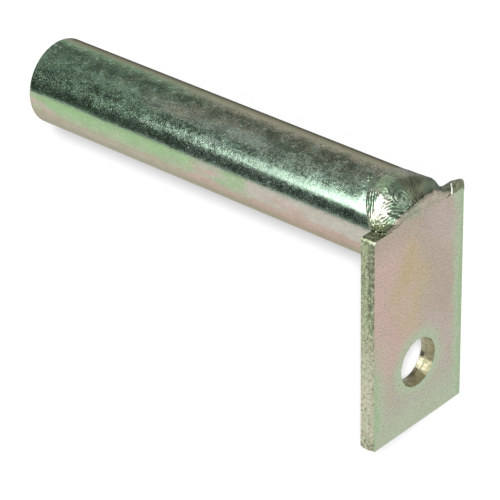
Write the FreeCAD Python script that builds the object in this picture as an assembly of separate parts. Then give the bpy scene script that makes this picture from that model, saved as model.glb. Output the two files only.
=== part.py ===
import FreeCAD, Part
import math
import os

# Gate hinge pin: a solid round bar butted against a sheared flag plate and welded to it over the
# part of the bar that stands above the plate's short edge. Sizes are in millimetres.
# The origin is on the bar's axis at the plate's outer face. +X runs along the bar to its free end,
# +Y runs down the plate to its bolt hole, and +Z is up, as the pin lies on the plate's long edge.

# Round bar
bar_diameter = 25.4
bar_length = 127.0
free_end_round = 0.9
weld_end_break = 0.5
root_draw_in = 0.1

# Flag plate, sheared from sheet
plate_thickness = 4.55
plate_width = 38.1
plate_length = 66.0
head_above_axis = 3.9
head_corner_round = 1.4
foot_corner_round = 1.2
shear_roll_over = 0.5
burr_side_break = 0.15

# Domed lug that the shear and the weld left on the plate's far head corner
lug_rise = 1.7
lug_width = 4.1
lug_side_setback = 0.05
lug_end_round = 0.7

# Bolt hole, punched from the inner face so that it breaks out wider at the outer face
hole_diameter = 13.5
hole_break_out_diameter = 14.3
hole_land = 1.7
hole_entry_break = 0.35
hole_to_foot = 19.9

# Weld saddle
weld_first_angle = -4.0
weld_last_angle = 184.0
weld_end_run = 18.0
weld_end_size = 0.4
weld_side_leg = 3.0
weld_top_leg = 7.6
weld_top_angle = 70.0
weld_near_spread = 72.0
weld_far_spread = 150.0
weld_plate_leg = 2.6
weld_crown = 0.75
weld_far_crown = 0.12
weld_arch_rise = 3.8
weld_skim = 0.4
weld_front_setback = 0.3
weld_root = 1.5
weld_seat_step = 0.03
weld_heel_dip = 0.15
saddle_run = 3.5
arch_first_angle = 17.0
arch_full_angle = 50.0
arch_fall_angle = 78.0
arch_last_angle = 163.0
ripple_pitch = 1.5
ripple_depth = 0.2
ripple_bow = 7.0
ripple_bow_run = 26.0

# The saddle's skin: its shoulder and crest over the bar in shares of its leg and its crown, its
# heel over the plate's inner edge, and the brow and face of its arched front
saddle_shoulder = (0.66, 0.75)
saddle_crest = (0.28, 1.0)
saddle_heel_share = 0.92
saddle_brow_width = 0.4
saddle_brow_share = 0.97
saddle_face_share = 0.6
crown_fall_angle = 45.0
arch_fullness = 0.6

# The plain fillet's skin from the bar to the plate, in shares of its two legs
fillet_profile = [
    (1.0, 0.0), (0.68, 0.26), (0.44, 0.46), (0.27, 0.64), (0.13, 0.8), (0.04, 0.92), (0.0, 1.0)
]

# Clear bare bar between the weld's longest toe and the start of the running length
running_clearance = 0.4

# Worked out from the sizes above
bar_radius = bar_diameter / 2
free_end_x = plate_thickness + bar_length
half_width = plate_width / 2
head_y = -head_above_axis
foot_y = head_y + plate_length
hole_y = foot_y - hole_to_foot
running_start_x = plate_thickness + weld_top_leg + running_clearance
saddle_first_angle = math.degrees(math.asin(head_above_axis / (bar_radius + weld_plate_leg)))
past = 1.0
hair = 1e-6


def radians_of(degrees):
    return math.radians(degrees)


def ease(share):
    """A smooth step from 0 to 1 for a share from 0 to 1."""
    share = min(max(share, 0.0), 1.0)
    return share * share * (3 - 2 * share)


def mix(low, high, share):
    return low + (high - low) * share


def polar(x, radius, degrees):
    """A point by its distance from the bar's axis and its angle round it.

    Angle 0 points to +Z, and 90 points to -Y, over the plate's head.
    """
    angle = radians_of(degrees)
    return FreeCAD.Vector(x, -radius * math.sin(angle), radius * math.cos(angle))


def pin_bar():
    """The solid round bar, turned about X, with a rounded free end and a drawn-in weld end."""
    weld_face = plate_thickness
    root_radius = bar_radius - root_draw_in
    corner = free_end_round * (1 - math.sqrt(0.5))
    points = {
        "centre": (weld_face, 0),
        "face": (weld_face, root_radius - weld_end_break),
        "root": (weld_face + weld_end_break, root_radius),
        "start": (running_start_x, bar_radius),
        "end": (free_end_x - free_end_round, bar_radius),
        "mid": (free_end_x - corner, bar_radius - corner),
        "tip": (free_end_x, bar_radius - free_end_round),
        "tip_centre": (free_end_x, 0),
    }
    at = {name: FreeCAD.Vector(x, radius, 0) for name, (x, radius) in points.items()}
    edges = [
        Part.LineSegment(at["centre"], at["face"]).toShape(),
        Part.LineSegment(at["face"], at["root"]).toShape(),
        Part.LineSegment(at["root"], at["start"]).toShape(),
        Part.LineSegment(at["start"], at["end"]).toShape(),
        Part.Arc(at["end"], at["mid"], at["tip"]).toShape(),
        Part.LineSegment(at["tip"], at["tip_centre"]).toShape(),
        Part.LineSegment(at["tip_centre"], at["centre"]).toShape(),
    ]
    section = Part.Face(Part.Wire(edges))
    return section.revolve(FreeCAD.Vector(0, 0, 0), FreeCAD.Vector(1, 0, 0), 360)


def corner_arc(centre_y, centre_z, radius, toward_y, toward_z):
    """A quarter round at a plate corner that points toward (toward_y, toward_z)."""
    lean = radius * math.sqrt(0.5)
    along_y = FreeCAD.Vector(0, centre_y + toward_y * radius, centre_z)
    middle = FreeCAD.Vector(0, centre_y + toward_y * lean, centre_z + toward_z * lean)
    along_z = FreeCAD.Vector(0, centre_y, centre_z + toward_z * radius)
    return along_y, middle, along_z


def plate_outline():
    """The plate's outline on its outer face: a sheared rectangle with eased corners."""
    corners = [
        corner_arc(
            head_y + head_corner_round, head_corner_round - half_width, head_corner_round, -1, -1
        )[::-1],
        corner_arc(
            head_y + head_corner_round, half_width - head_corner_round, head_corner_round, -1, 1
        ),
        corner_arc(
            foot_y - foot_corner_round, half_width - foot_corner_round, foot_corner_round, 1, 1
        )[::-1],
        corner_arc(
            foot_y - foot_corner_round, foot_corner_round - half_width, foot_corner_round, 1, -1
        ),
    ]
    edges = []
    for corner, following in zip(corners, corners[1:] + corners[:1]):
        edges.append(Part.Arc(*corner).toShape())
        edges.append(Part.LineSegment(corner[2], following[0]).toShape())
    return Part.Wire(edges)


def head_lug():
    """The lug: a round-backed lump across the plate's thickness that fades out in a dome."""
    radius = (plate_thickness - shear_roll_over) / 2
    centre_y = head_y - lug_rise + radius
    side_z = lug_side_setback - half_width
    dome_z = lug_width - radius - half_width
    centre_x = plate_thickness / 2
    start = FreeCAD.Vector(centre_x, centre_y, side_z)
    back = Part.makeCylinder(radius, dome_z - side_z, start, FreeCAD.Vector(0, 0, 1))
    outer_rim = [edge for edge in back.Edges if abs(edge.BoundBox.ZMax - side_z) < hair]
    back = back.makeFillet(lug_end_round, outer_rim)
    dome = Part.makeSphere(radius, FreeCAD.Vector(centre_x, centre_y, dome_z))
    return back.fuse(dome)


def outline_edges(plate, x):
    """The edges of the plate's outline that lie in the plane at x."""
    return [
        edge
        for edge in plate.Edges
        if abs(edge.BoundBox.XMin - x) < hair and abs(edge.BoundBox.XMax - x) < hair
    ]


def bolt_hole():
    """The punched hole: a straight land, and a break-out that widens to the outer face."""
    land_start = plate_thickness - hole_land
    land_radius = hole_diameter / 2
    mouth_radius = hole_break_out_diameter / 2
    widening = (mouth_radius - land_radius) / land_start
    centre = FreeCAD.Vector(0, hole_y, 0)
    along = FreeCAD.Vector(1, 0, 0)
    break_out = Part.makeCone(
        mouth_radius + past * widening,
        land_radius,
        land_start + past,
        centre - along * past,
        along,
    )
    land = Part.makeCylinder(
        land_radius, hole_land + past, centre + along * land_start, along
    )
    return break_out.fuse(land)


def entry_edge(plate):
    """The hole's rim on the plate's inner face."""
    return [
        edge
        for edge in outline_edges(plate, plate_thickness)
        if isinstance(edge.Curve, Part.Circle)
        and abs(edge.Curve.Radius - hole_diameter / 2) < hair
    ]


def plate_blank():
    """The plate as a plain slab, before its edges, lug and hole."""
    return Part.Face(plate_outline()).extrude(FreeCAD.Vector(plate_thickness, 0, 0))


def flag_plate():
    """The sheared plate, rolled over at its outer edge, with its lug and its punched hole."""
    blank = plate_blank()
    plate = blank.makeFillet(shear_roll_over, outline_edges(blank, 0))
    plate = plate.makeChamfer(burr_side_break, outline_edges(plate, plate_thickness))
    plate = plate.fuse(head_lug()).cut(bolt_hole())
    return plate.makeChamfer(hole_entry_break, entry_edge(plate))


def end_share(angle):
    """How full the weld is: 0 at its two ends and 1 a short run in from them."""
    from_end = min(angle - weld_first_angle, weld_last_angle - angle)
    return ease(from_end / weld_end_run)


def saddle_share(angle):
    """0 where the weld is a fillet in the inner corner, 1 where it saddles the plate's head."""
    from_start = min(angle, 180 - angle) - saddle_first_angle
    return ease(from_start / saddle_run)


def over_head(angle):
    """Whether the weld at this angle stands on the plate's head, not only in the inner corner."""
    return saddle_first_angle - hair < angle < 180 - saddle_first_angle + hair


def bar_leg(angle):
    """How far the weld's toe lies along the bar from the plate's inner face."""
    spread = weld_near_spread if angle < weld_top_angle else weld_far_spread
    lobe = math.cos(radians_of(min(abs(angle - weld_top_angle) / spread, 1.0) * 90)) ** 2
    return mix(weld_side_leg, weld_top_leg, lobe)


def crown(angle):
    """How far the weld stands above the bar."""
    return mix(weld_crown, weld_far_crown, ease((angle - weld_top_angle) / crown_fall_angle))


def fillet_points(leg, foot):
    """The weld's skin as a plain fillet, as (x, radius), from the toe on the bar to the plate."""
    return [
        (plate_thickness + leg * along, bar_radius + foot * out) for along, out in fillet_profile
    ]


def head_radius(angle, rise=0.0):
    """The distance from the bar's axis, along a ray at this angle, to a level over the head."""
    return (head_above_axis + rise) / math.sin(radians_of(angle))


def arch_share(angle):
    """How high the weld's front edge stands over the plate's head, from 0 to 1."""
    if angle < arch_full_angle:
        return ease((angle - arch_first_angle) / (arch_full_angle - arch_first_angle))
    fall = min(max((angle - arch_fall_angle) / (arch_last_angle - arch_fall_angle), 0.0), 1.0)
    return math.cos(radians_of(90 * fall)) ** arch_fullness


def saddle_points(leg, height, angle):
    """The weld's skin over the plate's head, from the toe on the bar to the outer face."""
    front_rise = mix(weld_skim, weld_arch_rise, arch_share(angle))
    front_radius = head_radius(angle, front_rise)
    heel_radius = max(bar_radius - weld_heel_dip, head_radius(angle, weld_skim))
    over_bar = [
        (plate_thickness + leg * along, bar_radius + height * out)
        for along, out in ((1.0, 0.0), saddle_shoulder, saddle_crest)
    ]
    return over_bar + [
        (plate_thickness * saddle_heel_share, heel_radius),
        (plate_thickness / 2, (heel_radius + front_radius) / 2 + weld_heel_dip),
        (
            weld_front_setback + saddle_brow_width,
            mix(heel_radius, front_radius, saddle_brow_share),
        ),
        (weld_front_setback, mix(head_radius(angle), front_radius, saddle_face_share)),
    ]


def over_plate(radius, angle, share):
    """The nearest place to this radius and angle that does not sink into the plate's head."""
    angle = min(max(angle, saddle_first_angle), 180 - saddle_first_angle)
    return max(radius, head_radius(angle, weld_skim / 2 * share)), angle


def weld_skin(leg, foot, angle, depth, full):
    """The outer curve of one section of the weld. Its middle leads its ends, as a ripple does."""
    share = saddle_share(angle)
    from_start = min(angle, 180 - angle) - saddle_first_angle
    bow = ripple_bow * ease(from_start / ripple_bow_run)
    fillet = fillet_points(leg, foot)
    saddle = saddle_points(leg, crown(angle) * full, angle) if over_head(angle) else fillet
    last = len(fillet) - 1
    points = []
    for index, (low, high) in enumerate(zip(fillet, saddle)):
        along = index / last
        swell = math.sin(math.pi * along) * full
        x = mix(low[0], high[0], share)
        radius = mix(low[1], high[1], share) - depth * min(2 * swell, 1.0)
        turned = angle + bow * swell
        if high[0] < plate_thickness:
            radius, turned = over_plate(radius, turned, share)
        points.append(polar(x, radius, turned))
    skin = Part.BSplineCurve()
    skin.interpolate(points)
    return skin.toShape(), points[0], points[-1]


def weld_seat(leg, foot, angle):
    """The corners of one section that lie on the plate's faces and within the bar."""
    root_radius = bar_radius - weld_root
    share = saddle_share(angle)
    if share > hair:
        foot_radius = corner_radius = head_radius(angle)
    elif over_head(angle):
        foot_radius = head_radius(angle) - weld_seat_step
        corner_radius = foot_radius - weld_seat_step
    else:
        foot_radius = bar_radius + foot * 2 / 3
        corner_radius = bar_radius + foot / 3
    heel = max(leg - weld_root, weld_end_size / 2)
    return [
        polar(mix(plate_thickness, weld_front_setback, share), foot_radius, angle),
        polar(plate_thickness, corner_radius, angle),
        polar(plate_thickness, min(corner_radius, bar_radius) - weld_root, angle),
        polar(plate_thickness + heel, root_radius, angle),
    ]


def weld_station(angle, depth):
    """One closed section of the weld, seated on the plate's head or on its inner face."""
    full = end_share(angle)
    leg = mix(weld_end_size, bar_leg(angle), full)
    foot = mix(weld_end_size, weld_plate_leg, full)
    skin, toe, front = weld_skin(leg, foot, angle, depth, full)
    corners = [front] + weld_seat(leg, foot, angle) + [toe]
    closing = [
        Part.LineSegment(start, end).toShape() for start, end in zip(corners, corners[1:])
    ]
    return Part.Wire([skin] + closing)


def station_angles():
    """The angles of the ripples' crests and valleys, with one where each saddle end begins."""
    half_ripple = math.degrees(ripple_pitch / 2 / bar_radius)
    marks = [weld_first_angle, saddle_first_angle, 180 - saddle_first_angle, weld_last_angle]
    angles = [weld_first_angle]
    for start, end in zip(marks, marks[1:]):
        ripples = round((end - start) / (2 * half_ripple))
        steps = 2 * max(ripples, 1)
        angles += [start + (end - start) * index / steps for index in range(1, steps + 1)]
    return angles


def weld_bead():
    """The rippled saddle weld, lofted through its ripples and seated on the bar and the plate."""
    stations = [
        weld_station(angle, ripple_depth * (index % 2))
        for index, angle in enumerate(station_angles())
    ]
    return Part.makeLoft(stations, True, True).cut(pin_bar())


os.makedirs("parts", exist_ok=True)
for make in (pin_bar, flag_plate, weld_bead):
    shape = make()
    shape.exportStep("parts/" + make.__name__ + ".step")
    print(make.__name__, shape.isValid(), len(shape.Solids), round(shape.Volume, 1))
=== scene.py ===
import math

import bmesh
import bpy
import numpy as np
from bpy.props import FloatProperty, FloatVectorProperty, IntProperty, PointerProperty
from mathutils import Matrix, Vector, noise


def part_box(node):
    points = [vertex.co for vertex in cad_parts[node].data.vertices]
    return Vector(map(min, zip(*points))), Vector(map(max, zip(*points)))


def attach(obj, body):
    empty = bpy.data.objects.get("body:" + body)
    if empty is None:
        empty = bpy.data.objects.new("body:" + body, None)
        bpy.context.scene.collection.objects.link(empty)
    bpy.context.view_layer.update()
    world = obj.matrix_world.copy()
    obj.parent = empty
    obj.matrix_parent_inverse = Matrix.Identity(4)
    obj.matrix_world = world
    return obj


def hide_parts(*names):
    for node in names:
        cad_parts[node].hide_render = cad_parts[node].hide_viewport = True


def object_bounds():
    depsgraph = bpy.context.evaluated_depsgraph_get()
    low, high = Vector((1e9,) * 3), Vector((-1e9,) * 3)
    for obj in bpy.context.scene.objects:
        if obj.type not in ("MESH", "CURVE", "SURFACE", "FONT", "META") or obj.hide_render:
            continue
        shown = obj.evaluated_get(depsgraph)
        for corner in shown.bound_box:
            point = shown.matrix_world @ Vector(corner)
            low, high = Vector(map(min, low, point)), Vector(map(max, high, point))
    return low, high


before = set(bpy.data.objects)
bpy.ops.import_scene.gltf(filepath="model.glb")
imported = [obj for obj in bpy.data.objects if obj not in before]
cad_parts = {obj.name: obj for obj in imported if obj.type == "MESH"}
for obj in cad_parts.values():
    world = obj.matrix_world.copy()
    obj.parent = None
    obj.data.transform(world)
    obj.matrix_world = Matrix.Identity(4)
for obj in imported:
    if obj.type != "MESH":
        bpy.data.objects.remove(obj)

bl_info = {
    "name": "Gate hinge pin",
    "version": (1, 0, 0),
    "blender": (4, 5, 0),
    "location": "3D View > Sidebar > Gate Pin",
    "description": "Dresses a welded gate hinge pin: round bar, sheared flag plate and saddle weld",
    "category": "Object",
}

MM = 0.001
CAD_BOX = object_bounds()
BAR_LOW, BAR_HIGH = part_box("pin_bar")
PLATE_LOW, PLATE_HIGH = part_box("flag_plate")
BAR_RADIUS = BAR_HIGH.z
PLATE_THICKNESS = BAR_LOW.x
HALF_WIDTH = PLATE_HIGH.z
FOOT_Y = PLATE_HIGH.y

# The plate's mesh: its fineness, its torn band as shares of the thickness, and its finishes
OUTLINE_SPACING = 0.4 * MM
CORNER_STEPS = 6
RIM_ANGLES = (30, 60)
WALL_STEPS = 18
BREAK_OUT_STEPS = 12
HOLE_POINTS = 200
FLAT_INSET = 0.5 * MM
TORN_DEPTHS = (0.52, 0.2)
TORN_BORDER = 0.5 * MM
EDGE_WAVE = 0.02 * MM
FACE_FINISH, EDGE_FINISH, HOLE_FINISH = 0, 1, 2

# The lug's mesh: steps along it, across its top and across its root
LUG_STEPS = (90, 48, 12)
LUG_ROOT = 1.3 * MM
LUG_CREASE_SLANT = 1.15

# The weld's mesh: how near it comes to the outer face's plane, and how deep its hidden root lies
FRONT_GAP = 0.006 * MM
WELD_ROOT = 1.2 * MM
WELD_CREASE = 75.0
# Degrees over which its leg shortens to the near and the far side
NEAR_LOBE, FAR_LOBE = 72.0, 150.0
# Where its swirl lies, and its smooth patch, which the finish paints pale where the window's highlight
# falls (painted highlight), by angle and by distance from the plate's inner face
SWIRL_ANGLE, SWIRL_LEG = 67.0, -2.8 * MM
HIGHLIGHT_PATCH_ANGLE, HIGHLIGHT_PATCH_LEG = 42.0, 0.7 * MM
# Its section beside the plate, from the toe on the bar to the toe on the plate, in shares of both legs
FILLET = (
    (1.0, 0.0), (0.8, 0.16), (0.62, 0.31), (0.46, 0.45), (0.33, 0.57), (0.22, 0.69),
    (0.13, 0.8), (0.07, 0.87), (0.035, 0.93), (0.012, 0.97), (0.0, 1.0),
)

# The spatter's beads. On the bar: along it in mm, angle round it, size in mm
BAR_BEADS = (
    (13.1, 66.0, 0.42), (13.9, 70.0, 0.3), (12.9, 71.5, 0.26), (14.6, 62.0, 0.2), (13.3, 57.0, 0.22),
)
# On the plate's head: x, z and size in mm
HEAD_BEADS = (
    (1.3, 13.9, 0.55), (2.1, 14.6, 0.36), (0.8, 15.0, 0.3), (3.2, 14.0, 0.5), (2.7, 15.6, 0.24),
    (1.5, 12.9, 0.7), (0.75, 12.3, 0.65), (0.6, 13.4, 0.45), (0.55, 11.5, 0.5), (1.0, 14.3, 0.35),
)
# On the low ridge where the weld meets the head: x, y, z and size in mm, and which way they stand out
RIDGE_BEADS = ((0.9, -7.2, 5.6, 0.34), (0.8, -7.5, 4.2, 0.3), (1.6, -8.1, 5.4, 0.22))
RIDGE_OUT = (-0.5, -0.8, 0.33)

# The room's brightness by the angle round the bar's axis, beyond the free end and on the other side
FAR_WALLS = (
    (-180, 0.5), (-163, 0.12), (-154, 0.45), (-147, 0.8), (-115, 0.9), (-60, 1.0), (-38, 1.03),
    (-21, 0.98), (-16.5, 0.4), (-12, 0.15), (-3, 0.11), (10, 0.14), (16, 0.15), (30, 0.15),
    (45, 0.17), (60, 0.28), (80, 0.5), (101, 0.34), (121, 0.3), (141, 0.54), (161, 0.78), (180, 0.5),
)
NEAR_WALLS = (
    (-180, 0.85), (-150, 0.97), (-60, 1.0), (-30, 0.95), (-12, 0.4), (10, 0.25), (60, 0.3),
    (95, 0.3), (125, 0.45), (150, 0.7), (180, 0.85),
)


# Small helps for numbers and curves


def ease(share):
    """A smooth step from 0 to 1 for a share from 0 to 1."""
    share = min(max(share, 0.0), 1.0)
    return share * share * (3 - 2 * share)


def rise(value, low, high):
    """A smooth step from 0 to 1 as value goes from low to high."""
    return ease((value - low) / (high - low))


def mix(low, high, share):
    return low + (high - low) * share


def polar(x, radius, degrees):
    """A point by its distance from the bar's axis and its angle round it, 90 being over the head."""
    angle = math.radians(degrees)
    return Vector((x, -radius * math.sin(angle), radius * math.cos(angle)))


def rough(place, grain, seed=0.0):
    """Soft random height between about -1 and 1, with lumps as large as grain."""
    return noise.noise(place / grain + Vector((seed, seed, seed)))


def smooth_through(points, count):
    """Evenly spread points on a natural cubic curve through the given ones."""
    given = np.array([tuple(point) for point in points])
    steps = np.linalg.norm(np.diff(given, axis=0), axis=1)
    at = np.concatenate(([0.0], np.cumsum(steps)))
    size = len(given)
    matrix = np.eye(size)
    right = np.zeros_like(given)
    for row in range(1, size - 1):
        before, after = steps[row - 1], steps[row]
        matrix[row, row - 1 : row + 2] = (before, 2 * (before + after), after)
        slopes = (given[row + 1] - given[row]) / after - (given[row] - given[row - 1]) / before
        right[row] = 6 * slopes
    bend = np.linalg.solve(matrix, right)
    fine = np.linspace(0.0, at[-1], 4 * count)
    part = np.clip(np.searchsorted(at, fine, side="right") - 1, 0, size - 2)
    length = steps[part][:, None]
    left = (at[part + 1] - fine)[:, None]
    done = (fine - at[part])[:, None]
    curve = (bend[part] * left**3 + bend[part + 1] * done**3) / (6 * length)
    curve += (given[part] / length - bend[part] * length / 6) * left
    curve += (given[part + 1] / length - bend[part + 1] * length / 6) * done
    run = np.concatenate(([0.0], np.cumsum(np.linalg.norm(np.diff(curve, axis=0), axis=1))))
    even = np.linspace(0.0, run[-1], count)
    return [Vector([np.interp(e, run, curve[:, axis]) for axis in range(3)]) for e in even]


# Small helps for meshes


def sheet_faces(bm, rows, closed_rows=False, closed_columns=False):
    """Joins a grid of vertices with four-sided faces and returns the faces."""
    faces = []
    row_count = len(rows) if closed_rows else len(rows) - 1
    for r in range(row_count):
        here, following = rows[r], rows[(r + 1) % len(rows)]
        column_count = len(here) if closed_columns else len(here) - 1
        for c in range(column_count):
            d = (c + 1) % len(here)
            faces.append(bm.faces.new((here[c], here[d], following[d], following[c])))
    return faces


def finish_piece(name, bm, materials, replaces=(), crease=40.0):
    """Turns the mesh into a smooth piece of the scene that rides on the part's only body."""
    bmesh.ops.recalc_face_normals(bm, faces=bm.faces)
    mesh = bpy.data.meshes.new(name)
    bm.to_mesh(mesh)
    bm.free()
    mesh.shade_smooth()
    mesh.set_sharp_from_angle(angle=math.radians(crease))
    for material in materials:
        mesh.materials.append(material)
    piece = bpy.data.objects.new(name, mesh)
    bpy.context.scene.collection.objects.link(piece)
    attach(piece, "root")
    if replaces:
        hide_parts(*replaces)
    return piece


# Materials


class Finish:
    """A material, with the few kinds of step that the finishes below are written with."""

    def __init__(self, name):
        self.material = bpy.data.materials.new(name)
        self.material.use_nodes = True
        self.tree = self.material.node_tree
        self.shader = self.tree.nodes["Principled BSDF"]
        self.place = self.tree.nodes.new("ShaderNodeTexCoord").outputs["Object"]
        self.tint = None

    @classmethod
    def of_world(cls, world):
        """The same steps for the room's light, where the place is the way that is looked."""
        made = cls.__new__(cls)
        world.use_nodes = True
        made.tree = world.node_tree
        made.shader = made.tree.nodes["Background"]
        made.place = made.tree.nodes.new("ShaderNodeTexCoord").outputs["Generated"]
        return made

    def feed(self, socket, value):
        """Links an output to a socket, or sets a plain value on it."""
        if isinstance(value, bpy.types.NodeSocket):
            self.tree.links.new(value, socket)
        else:
            socket.default_value = value

    # Steps with numbers

    def sums(self, operation, first, second=0.0, third=0.0):
        node = self.tree.nodes.new("ShaderNodeMath")
        node.operation = operation
        for socket, value in zip(node.inputs, (first, second, third)):
            self.feed(socket, value)
        return node.outputs["Value"]

    def plus(self, first, *others):
        for other in others:
            first = self.sums("ADD", first, other)
        return first

    def minus(self, first, second):
        return self.sums("SUBTRACT", first, second)

    def times(self, first, *others):
        for other in others:
            first = self.sums("MULTIPLY", first, other)
        return first

    def most(self, first, *others):
        """The largest of the values."""
        for other in others:
            first = self.sums("MAXIMUM", first, other)
        return first

    def scaled(self, value, factor, offset):
        return self.sums("MULTIPLY_ADD", value, factor, offset)

    def apart(self, value, middle):
        """How far a value is from a middle one."""
        return self.sums("ABSOLUTE", self.minus(value, middle))

    def sway(self, cloud, reach):
        """A cloud's level as a shift to both sides, half of reach each way."""
        return self.times(self.minus(cloud, 0.5), reach)

    def span(self, value, low, high, out_low=0.0, out_high=1.0):
        """A smooth change from out_low to out_high as value goes from low to high."""
        node = self.tree.nodes.new("ShaderNodeMapRange")
        node.interpolation_type = "SMOOTHSTEP"
        self.feed(node.inputs["Value"], value)
        limits = {"From Min": low, "From Max": high, "To Min": out_low, "To Max": out_high}
        for name, amount in limits.items():
            node.inputs[name].default_value = amount
        return node.outputs["Result"]

    def within(self, value, low, high, soft_low, soft_high):
        """1 between low and high, fading to 0 over soft_low and soft_high outside them."""
        above = self.span(value, low - soft_low, low)
        below = self.span(value, high + soft_high, high)
        return self.times(above, below)

    def graph(self, value, points):
        """A level that follows points of (value, level), in straight runs."""
        low, high = points[0][0], points[-1][0]
        peak = max(level for _, level in points)
        ramp = self.tree.nodes.new("ShaderNodeValToRGB")
        share = self.sums("DIVIDE", self.minus(value, low), high - low)
        self.feed(ramp.inputs["Fac"], share)
        elements = ramp.color_ramp.elements
        while len(elements) > 1:
            elements.remove(elements[-1])
        for index, (at, level) in enumerate(points):
            place = (at - low) / (high - low)
            element = elements[0] if index == 0 else elements.new(place)
            element.position = place
            element.color = (level / peak, level / peak, level / peak, 1.0)
        return self.times(ramp.outputs["Color"], peak)

    # Steps with places

    def axes(self):
        node = self.tree.nodes.new("ShaderNodeSeparateXYZ")
        self.feed(node.inputs["Vector"], self.place)
        return node.outputs

    def round_axis(self):
        """The angle round the bar's axis in degrees: 0 at the near side, 90 over the plate's head."""
        _, y, z = self.axes()
        return self.times(self.sums("ARCTAN2", self.times(y, -1.0), z), 180 / math.pi)

    def stretched(self, scale):
        """The place on the part, with each axis scaled."""
        node = self.tree.nodes.new("ShaderNodeMapping")
        self.feed(node.inputs["Vector"], self.place)
        node.inputs["Scale"].default_value = scale
        return node.outputs["Vector"]

    def cloud(self, grain, detail=2.0, crispness=0.5, stretch=(1.0, 1.0, 1.0)):
        """Random cloud whose lumps are as large as grain, in metres."""
        node = self.tree.nodes.new("ShaderNodeTexNoise")
        self.feed(node.inputs["Vector"], self.stretched(stretch))
        node.inputs["Scale"].default_value = 1.0 / grain
        node.inputs["Detail"].default_value = detail
        node.inputs["Roughness"].default_value = crispness
        return node.outputs["Fac"]

    def flecks(self, spacing, stretch=(1.0, 1.0, 1.0)):
        """The distance to the nearest of many scattered points."""
        node = self.tree.nodes.new("ShaderNodeTexVoronoi")
        self.feed(node.inputs["Vector"], self.stretched(stretch))
        node.inputs["Scale"].default_value = 1.0 / spacing
        return node.outputs["Distance"]

    def painted(self, name):
        """A share that the mesh carries at each of its points."""
        node = self.tree.nodes.new("ShaderNodeAttribute")
        node.attribute_name = name
        return node.outputs["Fac"]

    # Steps with colours and relief

    def blend(self, share, low, high):
        """Mixes two colours by a share."""
        node = self.tree.nodes.new("ShaderNodeMix")
        node.data_type = "RGBA"
        self.feed(node.inputs["Factor"], share)
        for socket, value in ((node.inputs[6], low), (node.inputs[7], high)):
            if isinstance(value, bpy.types.NodeSocket):
                self.tree.links.new(value, socket)
            else:
                socket.default_value = (*value, 1.0)
        return node.outputs[2]

    def lay(self, colour, *shares):
        """Lays a colour over the tint so far, as strong as its shares multiplied."""
        self.tint = self.blend(self.times(*shares), self.tint, colour)

    def bump(self, height, depth, under=None):
        """Relief of this depth, in metres, from a height between 0 and 1."""
        node = self.tree.nodes.new("ShaderNodeBump")
        node.inputs["Distance"].default_value = depth
        node.inputs["Strength"].default_value = 1.0
        self.feed(node.inputs["Height"], height)
        if under is not None:
            self.feed(node.inputs["Normal"], under)
        return node.outputs["Normal"]

    def done(self, roughness, normal, metallic=1.0):
        """Hands the tint and the rest to the shader."""
        self.feed(self.shader.inputs["Base Color"], self.tint)
        self.feed(self.shader.inputs["Roughness"], roughness)
        self.feed(self.shader.inputs["Metallic"], metallic)
        self.feed(self.shader.inputs["Normal"], normal)
        return self.material


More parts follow.
